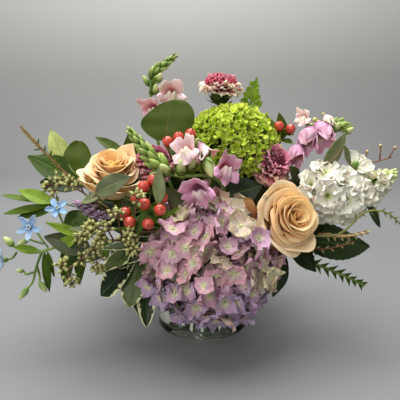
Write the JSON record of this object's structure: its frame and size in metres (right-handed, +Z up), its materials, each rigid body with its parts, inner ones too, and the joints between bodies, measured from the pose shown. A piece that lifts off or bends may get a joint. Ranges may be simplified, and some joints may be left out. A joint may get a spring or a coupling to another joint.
{
  "type": "floral table centerpiece",
  "caption": "Low wide arrangement of hydrangea, roses, snapdragons, stock, scabiosa, berries and mixed foliage standing in a short clear glass cylinder vase.",
  "frame": {"origin": "centre of the vase's flat underside, on the table", "axes": "+Z up, +X to the right along the arrangement's longest side, -Y towards the side with the large pink hydrangea"},
  "size_m": [0.4005, 0.2413, 0.2862],
  "materials": {
    "clear_glass": "polished",
    "water": "polished",
    "mauve_petals": "matte",
    "lime_petals": "matte",
    "peach_petals": "matte",
    "plum_petals": "matte",
    "lilac_petals": "matte",
    "white_petals": "matte",
    "blue_petals": "matte",
    "green_stem": "satin",
    "coral_berry": "gloss",
    "olive_seed": "satin",
    "dark_leaf": "satin",
    "grey_leaf": "satin",
    "cream_edged_leaf": "satin",
    "lavender_bud": "matte",
    "brown_twig": "matte"
  },
  "bodies": {
    "root": {"brown_seed_twig": "brown_twig", "curled_brown_twig": "brown_twig", "eucalyptus_long_leaf": "grey_leaf", "eucalyptus_low_left": "grey_leaf", "eucalyptus_narrow_leaf": "grey_leaf", "eucalyptus_over_rose": "grey_leaf", "eucalyptus_right": "grey_leaf", "eucalyptus_round_leaf": "dark_leaf", "fern_tip": "green_stem", "glass_vase": "clear_glass", "grevillea_left_twig": "brown_twig", "hydrangea_green_head": "lime_petals", "hydrangea_green_stem": "green_stem", "hydrangea_pink_head": "mauve_petals", "hydrangea_pink_stem": "green_stem", "hypericum_left_spray": "coral_berry", "hypericum_middle_spray": "coral_berry", "hypericum_right_spray": "coral_berry", "lavender_sprig": "lavender_bud", "rose_back_head": "peach_petals", "rose_back_stem": "green_stem", "rose_left_head": "peach_petals", "rose_left_stem": "green_stem", "rose_right_head": "peach_petals", "rose_right_stem": "green_stem", "ruscus_left": "dark_leaf", "salal_back_left": "dark_leaf", "salal_back_right": "dark_leaf", "salal_centre": "dark_leaf", "salal_left": "dark_leaf", "salal_right": "dark_leaf", "scabiosa_left_head": "plum_petals", "scabiosa_left_stem": "green_stem", "scabiosa_right_head": "plum_petals", "scabiosa_right_stem": "green_stem", "scabiosa_top_head": "plum_petals", "scabiosa_top_stem": "green_stem", "seeded_eucalyptus_lower": "olive_seed", "seeded_eucalyptus_upper": "olive_seed", "snapdragon_middle_bloom_centre": "lilac_petals", "snapdragon_middle_bloom_left": "lilac_petals", "snapdragon_middle_bloom_low": "lilac_petals", "snapdragon_middle_bloom_right": "lilac_petals", "snapdragon_middle_spike": "green_stem", "snapdragon_right_bloom_high": "lilac_petals", "snapdragon_right_bloom_low": "lilac_petals", "snapdragon_right_bloom_mid": "lilac_petals", "snapdragon_right_spike": "green_stem", "snapdragon_top_bloom_lower": "lilac_petals", "snapdragon_top_bloom_upper": "lilac_petals", "snapdragon_top_spike": "green_stem", "stock_blooms": "white_petals", "stock_spike": "green_stem", "thorny_green_twig": "dark_leaf", "tweedia_flower_middle": "blue_petals", "tweedia_flower_outer": "blue_petals", "tweedia_flower_upper": "blue_petals", "tweedia_stem": "green_stem", "variegated_pittosporum": "cream_edged_leaf", "water": "water"}
  },
  "joints": []
}
